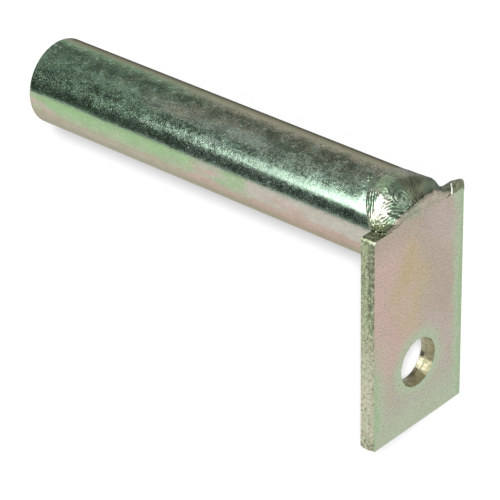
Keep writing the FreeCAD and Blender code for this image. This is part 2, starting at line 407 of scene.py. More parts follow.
def bar_zinc(look):
    """Passivated zinc over drawn bar: rose and green tints, mint where it is cleanest, fine grain."""
    f = Finish("bar_zinc")
    x = f.axes()[0]
    turn = f.round_axis()
    patches = f.cloud(11 * MM, 3.0, 0.6, (0.45, 1.0, 1.0))
    streaks = f.cloud(4 * MM, 3.0, 0.6, (0.35, 1.0, 1.0))
    blotch = f.cloud(2.2 * MM, 4.0, 0.75, (0.55, 1.0, 1.0))
    mottle = f.cloud(3.2 * MM, 4.0, 0.7, (0.7, 1.0, 1.0))
    coarse = f.cloud(1.1 * MM, 3.0, 0.65, (0.8, 1.0, 1.0))
    grain = f.cloud(0.45 * MM, 2.0, 0.6, (0.7, 1.0, 1.0))
    wander = f.sway(streaks, 16.0)
    edge = f.plus(turn, wander)

    # The pale lower side, with its green patches
    f.tint = f.blend(f.span(edge, -42.0, -22.0), look.straw, look.rose)
    lowest = f.within(edge, -52.0, -25.0, 10.0, 8.0)
    f.lay(look.pale, lowest, f.span(x, 50 * MM, 92 * MM, 0.0, 0.8))
    f.lay(look.pale, f.within(edge, -9.0, 12.0, 9.0, 4.0))
    leafier_out = f.span(x, 40 * MM, 72 * MM, -0.06, 0.1)
    leafier_up = f.times(f.span(edge, -16.0, 2.0, 0.0, 0.12), f.span(x, 30 * MM, 55 * MM))
    leafy = f.scaled(streaks, 0.25, f.minus(f.plus(patches, leafier_out, leafier_up), 0.12))
    f.lay(look.leaf, f.span(leafy, 0.5, 0.66), f.span(edge, -30.0, 4.0))
    f.lay(look.pale, f.span(streaks, 0.52, 0.72, 0.0, 0.35))

    # The upper side: mint, then olive and brown, then taupe at the back
    f.lay(look.olive, f.span(edge, 3.0, 11.0, 0.0, 0.3))
    f.lay(look.mint, f.within(turn, 11.0, 66.0, 3.0, 12.0))
    f.lay(look.rose, f.span(patches, 0.5, 0.36), f.span(edge, 6.0, -4.0, 0.0, 0.8))
    f.lay(look.olive, f.within(edge, 68.0, 96.0, 10.0, 8.0), 0.8)
    browned = f.span(patches, 0.52, 0.62, 0.0, 0.35)
    f.lay(look.brown, f.within(edge, 52.0, 96.0, 12.0, 8.0), browned)
    back = f.plus(edge, f.span(x, 90 * MM, 50 * MM, 0.0, 6.0))
    f.lay(look.taupe, f.span(back, 80.0, 92.0))
    free_end = f.span(f.plus(x, f.times(wander, 1.2 * MM)), 62 * MM, 100 * MM)
    f.lay(look.bottle, free_end, f.within(edge, 12.0, 92.0, 3.0, 14.0), 0.95)
    khaki_run = f.within(x, 74 * MM, 96 * MM, 12 * MM, 10 * MM)
    khaki_side = f.within(edge, 58.0, 92.0, 10.0, 8.0)
    f.lay(look.brown, khaki_side, f.span(patches, 0.5, 0.6, 0.0, 0.6), khaki_run)
    by_weld = f.times(f.within(turn, 50.0, 78.0, 8.0, 10.0), f.span(x, 80 * MM, 45 * MM, 0.15, 1.0))
    f.lay(look.scale, f.span(blotch, 0.5, 0.6, 0.0, 0.38), by_weld)
    f.lay(look.mint, f.span(blotch, 0.48, 0.38), by_weld)

    # Dark grain and bright flecks, mostly on the upper side; the bright flecks are painted glints. The dark
    # grain is left out along the strip where the window's highlight falls, so the highlight reads clean:
    # painted highlight.
    top = f.within(edge, 13.0, 84.0, 3.0, 16.0)
    faint = f.scaled(top, 0.82, 0.18)
    # The strip where the window's highlight falls, kept free of dark grain in the colour: painted highlight
    highlight_strip = f.within(turn, 26.0, 38.0, 4.0, 3.0)
    clean = f.times(highlight_strip, f.span(x, 75 * MM, 35 * MM, 0.0, 0.8))
    f.lay(look.scale, f.span(f.plus(grain, mottle), 0.96, 1.08), faint, f.minus(1.0, clean), 0.76)
    # A dark streak just above the highlight, from 36 to 80 mm along: painted shade
    painted_shade_run = f.within(x, 36 * MM, 80 * MM, 12 * MM, 10 * MM)
    f.lay(look.scale, f.within(edge, 41.0, 46.0, 4.0, 4.0), painted_shade_run, 0.42)
    # A paler patch above that streak, toward the free end: painted sheen
    painted_sheen_run = f.within(x, 52 * MM, 88 * MM, 12 * MM, 8 * MM)
    f.lay(look.pale, f.within(edge, 50.0, 66.0, 4.0, 6.0), painted_sheen_run, 0.24)
    # Bright flecks laid into the colour stand in for glints off tiny facets: painted glints. There are
    # fewer of them above the highlight near the weld, so that zone stays dark.
    quiet = f.times(f.within(turn, 38.0, 62.0, 2.0, 8.0), f.span(x, 5 * MM, 40 * MM, 0.6, 0.8))
    lively = f.times(faint, f.span(mottle, 0.42, 0.56, 1.0, 0.15), f.scaled(quiet, -0.5, 1.0))
    f.lay(look.painted_glint, f.span(f.plus(grain, coarse), 0.91, 0.8), lively, 0.85)
    # A dark line along the bar's upper outline as the camera sees it: painted shade
    f.lay(look.scale, f.span(turn, 110.0, 117.0, 0.0, 0.9))

    # The sawn face of the free end
    saw = f.cloud(0.6 * MM, 2.0, 0.6, (1.0, 1.0, 0.1))
    sawn = f.blend(f.span(saw, 0.42, 0.6), look.straw, look.olive)
    sawn = f.blend(f.span(patches, 0.45, 0.6, 0.0, 0.5), sawn, look.leaf)
    f.lay(sawn, f.span(x, BAR_HIGH.x - 0.4 * MM, BAR_HIGH.x - 0.05 * MM))

    calm = f.minus(1.0, f.most(clean, f.times(quiet, 0.9)))
    speck = f.times(f.span(f.plus(grain, f.times(coarse, 0.6)), 0.97, 1.04), top, calm)
    normal = f.bump(f.times(f.minus(grain, 0.5), calm), look.grain_depth * 0.5)
    normal = f.bump(f.times(f.minus(coarse, 0.5), calm), look.grain_depth * 0.7, normal)
    normal = f.bump(speck, look.grain_depth * 1.3, normal)
    f.shader.inputs["Specular Tint"].default_value = (*look.edge_sheen, 1.0)
    smoothest, roughest = look.bar_roughness - 0.03, look.bar_roughness + 0.05
    return f.done(f.span(coarse, 0.3, 0.7, smoothest, roughest), normal)


def face_zinc(look):
    """Passivated zinc over rolled sheet: rose and gold inside, green toward edges and hole."""
    f = Finish("plate_zinc")
    _, y, z = f.axes()
    broad = f.cloud(19 * MM, 2.0, 0.5)
    cloud = f.cloud(8 * MM, 4.0, 0.6)
    coarse = f.cloud(1.4 * MM, 3.0, 0.7)
    fine = f.cloud(0.4 * MM, 2.0, 0.7)
    wander = f.sway(cloud, 9 * MM)
    half_wander = f.times(wander, 0.5)
    f.tint = f.blend(f.span(broad, 0.35, 0.65), look.taupe_face, look.lilac_face)
    rosy = f.within(f.plus(z, wander), 4 * MM, 19 * MM, 7 * MM, 2 * MM)
    f.lay(look.rose_face, rosy, f.span(y, 48 * MM, 33 * MM, 0.1, 1.0))
    f.lay(look.pale_face, f.span(f.plus(y, wander), 38 * MM, 54 * MM, 0.0, 0.6))

    gold_y = f.apart(f.plus(y, half_wander), 17.5 * MM)
    gold_z = f.apart(f.plus(z, half_wander), 3.5 * MM)
    gold = f.span(f.plus(f.times(gold_y, 0.42), gold_z), 12.5 * MM, 4.5 * MM)
    f.lay(look.gold_face, gold, f.span(cloud, 0.4, 0.6, 0.4, 1.0), 0.85)

    from_far = f.plus(z, HALF_WIDTH, wander)
    from_near = f.plus(f.minus(HALF_WIDTH, z), wander)
    from_foot = f.plus(f.minus(FOOT_Y, y), wander)
    hole_y = f.minus(y, FOOT_Y - bpy.context.scene.gate_pin_plate.hole_to_foot)
    from_hole = f.sums("SQRT", f.plus(f.times(hole_y, hole_y), f.times(z, z)))
    low_down = f.span(y, 24 * MM, 44 * MM)
    far_green = f.span(from_far, 5.8 * MM, 2.2 * MM)
    near_green = f.times(f.span(from_near, 7 * MM, 1.5 * MM), low_down)
    foot_green = f.span(from_foot, 16 * MM, 2 * MM, 0.0, 0.8)
    hole_green = f.span(f.plus(from_hole, half_wander), 12.5 * MM, 7.5 * MM)
    f.lay(look.green_face, f.most(far_green, near_green, foot_green, hole_green), 0.9)
    f.lay(look.leaf, f.span(from_far, 2.5 * MM, 1.0 * MM, 0.0, 0.5))
    f.lay(look.leaf, f.span(from_near, 2.5 * MM, 1.0 * MM), low_down, 0.5)
    f.lay(look.head_face, f.span(y, 6 * MM, -3 * MM), f.span(z, -12 * MM, 0.0), 0.75)

    f.lay(look.pit, f.span(fine, 0.42, 0.68, 0.0, 0.5))
    f.lay(look.scale, f.span(coarse, 0.45, 0.75, 0.0, 0.18))
    pit_size = f.span(broad, 0.5, 0.7, 0.03, 0.085)
    f.lay(look.pit, f.sums("LESS_THAN", f.flecks(3.0 * MM), pit_size), 0.6)
    smoothest, roughest = look.face_roughness - 0.04, look.face_roughness + 0.06
    normal = f.bump(fine, look.grain_depth * 0.35)
    return f.done(f.span(cloud, 0.3, 0.7, smoothest, roughest), normal)


def sheared_zinc(look):
    """The plate's cut edge: olive to cream, speckled dark where the metal is torn."""
    f = Finish("sheared_edge")
    y = f.axes()[1]
    torn = f.painted("torn")
    drag = f.cloud(0.5 * MM, 3.0, 0.75, (0.8, 1.0, 1.0))
    speckle = f.cloud(1.0 * MM, 4.0, 0.8, (1.0, 0.7, 1.0))
    blotch = f.cloud(3.0 * MM, 4.0, 0.7, (1.2, 0.6, 1.0))
    low = f.plus(y, f.sway(blotch, 36 * MM))
    f.tint = f.blend(f.span(low, 14 * MM, 44 * MM), look.olive_edge, look.cream_edge)
    f.lay(look.leaf, f.span(blotch, 0.42, 0.68, 0.0, 0.4))
    f.lay(look.cream_edge, f.span(speckle, 0.54, 0.36, 0.0, 0.5))
    on_head = f.span(y, -3.2 * MM, -3.7 * MM)
    f.lay(look.torn_edge, on_head, f.span(speckle, 0.4, 0.6, 0.2, 0.8))

    worn = f.scaled(speckle, 2.2, f.scaled(drag, 1.4, f.times(torn, 0.5)))
    ragged = f.times(f.span(worn, 1.95, 2.5), f.span(low, 6 * MM, 34 * MM, 1.0, 0.1))
    stained = f.span(f.scaled(speckle, 0.6, blotch), 0.84, 0.94)
    stained = f.times(stained, f.span(low, 4 * MM, 30 * MM, 0.7, 0.0))
    f.lay(look.torn_edge, f.most(ragged, stained))
    at_foot = f.span(y, FOOT_Y - 7 * MM, FOOT_Y - 1 * MM)
    f.lay(look.torn_edge, at_foot, f.span(speckle, 0.45, 0.55, 0.1, 0.8))

    uneven = f.plus(speckle, drag)
    f.lay(look.torn_edge, f.span(uneven, 1.03, 1.14), f.span(low, 4 * MM, 40 * MM, 0.95, 0.7))
    # Bright flecks on the cut edge: painted glints
    f.lay(look.painted_glint, f.span(uneven, 0.9, 0.78), f.span(low, 4 * MM, 40 * MM, 0.5, 0.25))
    normal = f.bump(drag, 0.05 * MM)
    normal = f.bump(speckle, 0.1 * MM, normal)
    return f.done(f.span(torn, 0.0, 1.0, 0.32, 0.42), normal)


def hole_zinc(look):
    """The punched hole's wall: a narrow burnished land at the back and a torn break-out."""
    f = Finish("hole_wall")
    torn = f.painted("torn")
    drag = f.cloud(1.1 * MM, 3.0, 0.65, (0.4, 1.0, 1.0))
    f.tint = f.blend(torn, look.land, look.break_out)
    f.lay(look.torn_edge, f.span(drag, 0.5, 0.68, 0.0, 0.5))
    # Bright flecks on the hole's wall: painted glints
    f.lay(look.painted_glint, f.span(drag, 0.4, 0.28, 0.0, 0.5))
    return f.done(f.span(torn, 0.0, 1.0, 0.2, 0.42), f.bump(drag, 0.08 * MM))


def weld_zinc(look):
    """Passivated zinc over weld metal: bright where it is smooth, with dark scale in the ripples."""
    f = Finish("weld_zinc")
    x = f.axes()[0]
    turn = f.round_axis()
    front = f.painted("front")
    patches = f.cloud(2.4 * MM, 4.0, 0.65)
    worn = f.cloud(1.1 * MM, 4.0, 0.7)
    fine = f.cloud(0.45 * MM, 3.0, 0.65)
    f.tint = f.blend(f.span(patches, 0.40, 0.54), look.weld_pale, look.weld_green)
    # Pale on the smooth patch where the window's highlight falls: painted highlight
    f.lay(look.weld_pale, f.painted("smooth"))
    f.lay(look.weld_olive, f.span(f.plus(turn, f.sway(patches, 50.0)), 62.0, 82.0))
    f.lay(look.taupe, f.span(turn, 92.0, 112.0, 0.0, 0.5))
    over_plate = f.times(f.span(x, 6.0 * MM, 3.2 * MM), f.span(turn, 72.0, 92.0))
    f.lay(look.weld_dark, over_plate, f.span(patches, 0.35, 0.6, 0.75, 1.0))
    green_run = f.within(x, 2 * MM, 7 * MM, 1 * MM, 1 * MM)
    f.lay(look.weld_green, f.within(turn, 56.0, 74.0, 6.0, 8.0), green_run, 0.75)
    swirl_run = f.within(x, 6.8 * MM, 9.6 * MM, 1.2 * MM, 1.0 * MM)
    swirl_worn = f.span(worn, 0.4, 0.55, 0.35, 0.95)
    f.lay(look.swirl, f.within(turn, 60.0, 76.0, 6.0, 8.0), swirl_run, swirl_worn)
    low_end = f.span(turn, 34.0, 16.0)
    f.lay(look.olive_edge, low_end, f.span(patches, 0.4, 0.55, 0.3, 0.95))

    # The arch in front of the head
    arch_middle = f.times(f.within(turn, 46.0, 84.0, 14.0, 24.0), 0.6)
    arch = f.blend(arch_middle, look.arch, look.arch_green)
    arch = f.blend(f.span(patches, 0.45, 0.65, 0.0, 0.6), arch, look.taupe)
    arch = f.blend(f.span(worn, 0.52, 0.66, 0.0, 0.35), arch, look.weld_olive)
    f.lay(arch, front, 0.95)

    # Scale, painted shade along the upper outline, specks and the seam round the arch
    f.lay(look.weld_scale, f.painted("valley"), 0.85)
    f.lay(look.weld_scale, f.span(worn, 0.52, 0.66, 0.0, 0.6), f.span(front, 0.0, 1.0, 1.0, 0.15))
    # Dark along the weld's upper outline as the camera sees it: painted shade
    f.lay(look.scale, f.span(turn, 109.0, 118.0, 0.0, 0.6), f.span(front, 0.0, 0.5, 1.0, 0.0))
    specks = f.times(f.cloud(0.4 * MM, 2.0, 0.7), front)
    f.lay(look.pit, f.span(specks, 0.42, 0.68, 0.0, 0.5))
    seam = f.within(front, 0.15, 0.45, 0.15, 0.4)
    f.lay(look.weld_scale, seam, f.span(f.plus(worn, patches), 0.9, 1.08, 0.1, 0.85))

    normal = f.bump(fine, 0.02 * MM)
    normal = f.bump(worn, 0.05 * MM, normal)
    roughness = f.plus(f.span(patches, 0.3, 0.7, 0.16, 0.28), f.times(low_end, 0.14))
    return f.done(f.most(roughness, f.times(front, 0.34)), normal)


def lug_zinc(look):
    """Passivated zinc over the lug: dark olive, mottled, with a painted glint along its crease."""
    f = Finish("lug_zinc")
    x, y, z = f.axes()
    fine = f.cloud(0.5 * MM, 3.0, 0.65)
    mottle = f.cloud(1.4 * MM, 4.0, 0.7)
    f.tint = f.blend(f.span(mottle, 0.38, 0.54), look.olive_edge, look.weld_olive)
    f.lay(look.torn_edge, f.span(f.plus(fine, mottle), 0.92, 1.08, 0.0, 0.85))
    from_corner = f.minus(z, PLATE_LOW.z)
    f.lay(look.weld_dark, f.span(from_corner, 4.5 * MM, 7.5 * MM, 0.0, 0.8))
    by_head = f.span(y, -5.6 * MM, -4.3 * MM, 0.0, 0.75)
    f.lay(look.weld_dark, by_head, f.span(mottle, 0.35, 0.55, 0.5, 1.0))
    # A bright, non-metal stroke along the crease stands in for a glint: painted glint
    crease_z = PLATE_LOW.z + bpy.context.scene.gate_pin_plate.lug_crease
    from_crease = f.apart(f.scaled(x, LUG_CREASE_SLANT, z), crease_z)
    slit = f.scaled(f.minus(fine, 0.5), 0.7 * MM, from_crease)
    slit_glint = f.times(f.span(slit, 0.35 * MM, 0.17 * MM), f.span(x, 2.7 * MM, 2.2 * MM))
    f.lay(look.slit_glint, slit_glint)
    normal = f.bump(fine, 0.04 * MM)
    return f.done(f.span(mottle, 0.3, 0.7, 0.26, 0.38), normal, f.minus(1.0, slit_glint))


# What a user would change


class PlateShape(bpy.types.PropertyGroup):
    """The flag plate's sizes beyond those that the frame gives."""

    head_above_axis: FloatProperty(
        name="Head above axis", description="The short edge's height above the bar's axis",
        default=3.9 * MM, unit="LENGTH",
    )
    head_round: FloatProperty(
        name="Head corner", description="Round of the two corners at the weld",
        default=1.4 * MM, unit="LENGTH",
    )
    foot_round: FloatProperty(
        name="Foot corner", description="Round of the two corners at the foot",
        default=0.6 * MM, unit="LENGTH",
    )
    rim_round: FloatProperty(
        name="Rim", description="Round of the rim at the outer face",
        default=0.22 * MM, unit="LENGTH",
    )
    burr_break: FloatProperty(
        name="Burr", description="Break of the rim at the inner face",
        default=0.12 * MM, unit="LENGTH",
    )
    tear_depth: FloatProperty(
        name="Tear", description="Depth of the torn band of the cut edge",
        default=0.16 * MM, unit="LENGTH",
    )
    hole_radius: FloatProperty(
        name="Hole radius", description="Radius of the hole's land",
        default=6.75 * MM, unit="LENGTH",
    )
    mouth_radius: FloatProperty(
        name="Mouth radius", description="Radius of the break-out at the outer face",
        default=7.15 * MM, unit="LENGTH",
    )
    hole_land: FloatProperty(
        name="Land", description="Length of the hole's straight land",
        default=1.7 * MM, unit="LENGTH",
    )
    hole_entry: FloatProperty(
        name="Entry", description="Break of the hole's rim at the inner face",
        default=0.35 * MM, unit="LENGTH",
    )
    hole_to_foot: FloatProperty(
        name="Hole to foot", description="From the hole's axis to the foot",
        default=19.9 * MM, unit="LENGTH",
    )
    lug_rise: FloatProperty(
        name="Lug rise", description="The lug's height over the head",
        default=2.35 * MM, unit="LENGTH",
    )
    lug_width: FloatProperty(
        name="Lug width", description="The lug's length along the head",
        default=7.6 * MM, unit="LENGTH",
    )
    lug_crease: FloatProperty(
        name="Lug crease", description="The crease's distance from the corner",
        default=5.5 * MM, unit="LENGTH",
    )
    lug_front_round: FloatProperty(
        name="Lug front", description="Round of the lug at the outer face",
        default=0.6 * MM, unit="LENGTH",
    )
    lug_fall: FloatProperty(
        name="Lug fall", description="How late it falls toward the inner face", default=1.4
    )


class WeldShape(bpy.types.PropertyGroup):
    """The saddle weld's sizes."""

    first_angle: FloatProperty(
        name="First angle", description="Where the weld begins, in degrees", default=-4.0
    )
    last_angle: FloatProperty(
        name="Last angle", description="Where the weld ends, in degrees", default=184.0
    )
    end_run: FloatProperty(
        name="End run", description="Degrees over which it fills from its ends", default=18.0
    )
    end_size: FloatProperty(
        name="End size", description="Leg at its ends", default=0.4 * MM, unit="LENGTH"
    )
    side_leg: FloatProperty(
        name="Side leg", description="Leg on the bar at the sides", default=2.8 * MM, unit="LENGTH"
    )
    top_leg: FloatProperty(
        name="Top leg", description="Leg on the bar at the top", default=7.6 * MM, unit="LENGTH"
    )
    top_angle: FloatProperty(
        name="Top angle", description="Where the leg is longest, in degrees", default=70.0
    )
    plate_leg: FloatProperty(
        name="Plate leg", description="Leg on the plate", default=2.6 * MM, unit="LENGTH"
    )
    crown: FloatProperty(
        name="Crown", description="Height over the bar", default=0.75 * MM, unit="LENGTH"
    )
    far_crown: FloatProperty(
        name="Far crown", description="Height at the far side", default=0.12 * MM, unit="LENGTH"
    )
    low_arch: FloatProperty(
        name="Low arch", description="Front edge over the head", default=2.5 * MM, unit="LENGTH"
    )
    high_arch: FloatProperty(
        name="High arch", description="Further rise beyond the top", default=0.9 * MM, unit="LENGTH"
    )
    skim: FloatProperty(
        name="Skim", description="Least height over the head", default=0.4 * MM, unit="LENGTH"
    )
    front_setback: FloatProperty(
        name="Setback", description="Front from the outer face", default=0.3 * MM, unit="LENGTH"
    )
    saddle_run: FloatProperty(
        name="Saddle run", description="Degrees over which it climbs the head", default=3.5
    )
    ripple_pitch: FloatProperty(
        name="Ripple pitch", description="From crest to crest", default=1.1 * MM, unit="LENGTH"
    )
    ripple_depth: FloatProperty(
        name="Ripple depth", description="Crest to valley", default=0.26 * MM, unit="LENGTH"
    )
    stations: IntProperty(name="Stations", description="Sections along the weld", default=400)
    across: IntProperty(name="Across", description="Points across each section", default=110)


class Look(bpy.types.PropertyGroup):
    """Colours and grain of the passivated zinc."""

    rose: FloatVectorProperty(
        name="Rose", description="Rose tint of the bar", default=(0.58, 0.44, 0.38), subtype="COLOR"
    )
    leaf: FloatVectorProperty(
        name="Leaf", description="Green patches of the zinc",
        default=(0.355, 0.535, 0.285), subtype="COLOR",
    )
    pale: FloatVectorProperty(
        name="Pale", description="Pale streaks of the zinc",
        default=(0.55, 0.52, 0.45), subtype="COLOR",
    )
    brown: FloatVectorProperty(
        name="Brown", description="Brown patches of the upper side",
        default=(0.45, 0.42, 0.305), subtype="COLOR",
    )
    olive: FloatVectorProperty(
        name="Olive", description="Olive upper side", default=(0.42, 0.47, 0.35), subtype="COLOR"
    )
    straw: FloatVectorProperty(
        name="Straw", description="Greyer lower side", default=(0.50, 0.465, 0.38), subtype="COLOR"
    )
    mint: FloatVectorProperty(
        name="Mint", description="Cleanest zinc", default=(0.395, 0.545, 0.425), subtype="COLOR"
    )
    taupe: FloatVectorProperty(
        name="Taupe", description="Taupe back of the bar",
        default=(0.44, 0.42, 0.33), subtype="COLOR",
    )
    bottle: FloatVectorProperty(
        name="Bottle", description="Deep green at the free end",
        default=(0.26, 0.42, 0.28), subtype="COLOR",
    )
    # Dark grain; also laid as painted shade: a dark line along the upper outline of bar and weld, and a
    # dark streak above the bar's highlight
    scale: FloatVectorProperty(
        name="Scale", description="Dark grain", default=(0.10, 0.15, 0.105), subtype="COLOR"
    )
    # Bright flecks that stand in for glints off tiny facets: painted glints, on the bar, the cut edge and
    # the hole
    painted_glint: FloatVectorProperty(
        name="Spark", description="Bright grain", default=(0.80, 0.93, 0.80), subtype="COLOR"
    )
    edge_sheen: FloatVectorProperty(
        name="Edge sheen", description="Tint of the gloss where it is seen flat on",
        default=(0.62, 0.62, 0.52), subtype="COLOR",
    )
    taupe_face: FloatVectorProperty(
        name="Face taupe", description="Main tint of the face",
        default=(0.54, 0.45, 0.365), subtype="COLOR",
    )
    rose_face: FloatVectorProperty(
        name="Face rose", description="Rosy near half of the face",
        default=(0.65, 0.49, 0.42), subtype="COLOR",
    )
    lilac_face: FloatVectorProperty(
        name="Face lilac", description="Other shade of the face's main tint",
        default=(0.585, 0.495, 0.43), subtype="COLOR",
    )
    gold_face: FloatVectorProperty(
        name="Face gold", description="Gold patch in the face's middle",
        default=(0.60, 0.49, 0.29), subtype="COLOR",
    )
    pale_face: FloatVectorProperty(
        name="Face by the foot", description="Paler face near the foot",
        default=(0.54, 0.54, 0.44), subtype="COLOR",
    )
    head_face: FloatVectorProperty(
        name="Face by the head", description="Browner face near the head",
        default=(0.50, 0.43, 0.345), subtype="COLOR",
    )
    green_face: FloatVectorProperty(
        name="Face green", description="Green along the edges and round the hole",
        default=(0.50, 0.61, 0.42), subtype="COLOR",
    )
    pit: FloatVectorProperty(
        name="Pit", description="Tiny dark pits", default=(0.10, 0.10, 0.08), subtype="COLOR"
    )
    olive_edge: FloatVectorProperty(
        name="Edge olive", description="Cut edge near the head",
        default=(0.40, 0.45, 0.27), subtype="COLOR",
    )
    cream_edge: FloatVectorProperty(
        name="Edge cream", description="Cut edge near the foot",
        default=(0.62, 0.59, 0.45), subtype="COLOR",
    )
    torn_edge: FloatVectorProperty(
        name="Torn", description="Torn metal", default=(0.16, 0.18, 0.11), subtype="COLOR"
    )
    land: FloatVectorProperty(
        name="Land", description="Burnished land of the hole",
        default=(0.35, 0.32, 0.22), subtype="COLOR",
    )
    break_out: FloatVectorProperty(
        name="Break-out", description="Torn part of the hole",
        default=(0.46, 0.43, 0.28), subtype="COLOR",
    )
    # Pale weld metal; where it is laid on the smooth patch under the window's highlight, it is a painted
    # highlight
    weld_pale: FloatVectorProperty(
        name="Weld pale", description="Smooth and clean weld metal",
        default=(0.66, 0.675, 0.56), subtype="COLOR",
    )
    weld_green: FloatVectorProperty(
        name="Weld green", description="Greener patches of the weld",
        default=(0.32, 0.46, 0.32), subtype="COLOR",
    )
    arch: FloatVectorProperty(
        name="Arch", description="The weld's front over the head",
        default=(0.56, 0.485, 0.395), subtype="COLOR",
    )
    weld_olive: FloatVectorProperty(
        name="Weld olive", description="The weld's upper and far side",
        default=(0.30, 0.335, 0.225), subtype="COLOR",
    )
    weld_dark: FloatVectorProperty(
        name="Weld dark", description="The weld over the plate's head",
        default=(0.145, 0.165, 0.105), subtype="COLOR",
    )
    swirl: FloatVectorProperty(
        name="Swirl", description="Pale green of the weld's upper side",
        default=(0.66, 0.90, 0.57), subtype="COLOR",
    )
    arch_green: FloatVectorProperty(
        name="Front green", description="Greener middle of the weld's front",
        default=(0.40, 0.47, 0.33), subtype="COLOR",
    )
    weld_scale: FloatVectorProperty(
        name="Weld scale", description="Dark scale in the ripples",
        default=(0.07, 0.08, 0.055), subtype="COLOR",
    )
    # The bright stroke along the lug's crease: painted glint
    slit_glint: FloatVectorProperty(
        name="Bare", description="Scratch over the lug", default=(0.80, 0.82, 0.76), subtype="COLOR"
    )
    bar_roughness: FloatProperty(
        name="Bar roughness", description="Roughness of the bar", default=0.14
    )
    face_roughness: FloatProperty(
        name="Face roughness", description="Roughness of the plate", default=0.34
    )
    grain_depth: FloatProperty(
        name="Grain depth", description="Depth of the grain", default=0.035 * MM, unit="LENGTH"
    )


class Studio(bpy.types.PropertyGroup):
    """The camera's place, the floor and the light."""

    eye: FloatVectorProperty(
        name="Eye", description="Where the camera stands",
        default=(-0.41444, -0.39704, 0.53407), subtype="TRANSLATION",
    )
    ahead: FloatVectorProperty(
        name="Ahead", description="Which way it looks",
        default=(0.56991, 0.51296, -0.64193), subtype="DIRECTION",
    )
    upward: FloatVectorProperty(
        name="Upward", description="Which way its upper side points",
        default=(0.32551, -0.85824, -0.39682), subtype="DIRECTION",
    )
    lens: FloatProperty(
        name="Lens", description="Focal length on a 36 mm sensor", default=215.0, unit="CAMERA"
    )
    floor_colour: FloatVectorProperty(
        name="Floor", description="Colour of the floor", default=(0.60, 0.60, 0.60), subtype="COLOR"
    )
    sky: FloatProperty(
        name="Sky", description="Level of the soft light from all round", default=0.4
    )
    window: FloatProperty(name="Window", description="Level of the long window", default=4.6)
    lamp: FloatProperty(name="Lamp", description="Level of the lamp", default=4.0)
    lamp_way: FloatVectorProperty(
        name="Lamp direction", description="Which way the lamp shines",
        default=(0.508, 0.568, -0.652), subtype="DIRECTION",
    )
    floor_glow: FloatVectorProperty(
        name="Floor glow", description="Colour of the white that the camera sees in the floor",
        default=(0.99, 0.98, 1.0), subtype="COLOR",
    )
    floor_lift: FloatProperty(name="Floor lift", description="Level of that white", default=0.38)
    lamp_spread: FloatProperty(
        name="Lamp spread", description="How wide the lamp looks",
        default=math.radians(7.5), subtype="ANGLE",
    )


# The plate


def plate_outline(shape, inset):
    """Points of the plate's outline in (y, z), moved in by inset, each with its outward normal."""
    head = -shape.head_above_axis
    # Each corner's place, the sides that it lies toward, its round, and the angle that it starts at
    corners = [
        (head, HALF_WIDTH, -1, 1, shape.head_round, 180),
        (FOOT_Y, HALF_WIDTH, 1, 1, shape.foot_round, 90),
        (FOOT_Y, -HALF_WIDTH, 1, -1, shape.foot_round, 0),
        (head, -HALF_WIDTH, -1, -1, shape.head_round, 270),
    ]

    def on_corner(corner, turned):
        """The point and the normal where a corner's round has turned by so many degrees."""
        y, z, side_y, side_z, radius, start_angle = corner
        angle = math.radians(start_angle - turned)
        normal = Vector((math.cos(angle), math.sin(angle)))
        centre = Vector((y - side_y * radius, z - side_z * radius))
        return centre + normal * (radius - inset), normal

    places = []
    for corner, following in zip(corners, corners[1:] + corners[:1]):
        places += [on_corner(corner, 90 * step / CORNER_STEPS) for step in range(CORNER_STEPS + 1)]
        start = places[-1][0]
        end, normal = on_corner(following, 0)
        count = max(int((end - start).length / OUTLINE_SPACING), 1)
        places += [(start.lerp(end, step / count), normal) for step in range(1, count)]
    return places


def torn_share(x, place):
    """How torn the cut edge is at this depth. The torn band is at the outer half and fades to the foot."""
    border = PLATE_THICKNESS * mix(*TORN_DEPTHS, rise(place.y, 10 * MM, 46 * MM))
    border += 1.1 * MM * rough(place, 5 * MM) + 0.6 * MM * rough(place, 1.1 * MM, 7.0)
    return 1.0 - rise(x, border - TORN_BORDER, border + TORN_BORDER)


def edge_inset(x, place, shape):
    """How far the cut edge lies inside the plate's outline at this depth."""
    torn = torn_share(x, place)
    lumps = 0.65 + 0.5 * rough(place, 1.3 * MM, 3.0) + 0.35 * rough(place, 0.45 * MM, 5.0)
    tear = max(shape.tear_depth * torn * lumps, 0.0)
    drag = EDGE_WAVE * (1 - torn) * (1 + rough(Vector((0, place.y, place.z)), 0.7 * MM, 9.0))
    wave = EDGE_WAVE * (1 + rough(place, 8 * MM, 11.0))
    depth = x / PLATE_THICKNESS
    rolled_foot = 0.3 * MM * depth**4 + 0.35 * MM * (1 - depth) ** 5
    return tear + drag + wave + rise(place.y, FOOT_Y - 1.5 * MM, FOOT_Y) * rolled_foot


def ring_edges(bm, ring):
    """The edges between the neighbours of a closed ring."""
    return [bm.edges.get(pair) for pair in zip(ring, ring[1:] + ring[:1])]


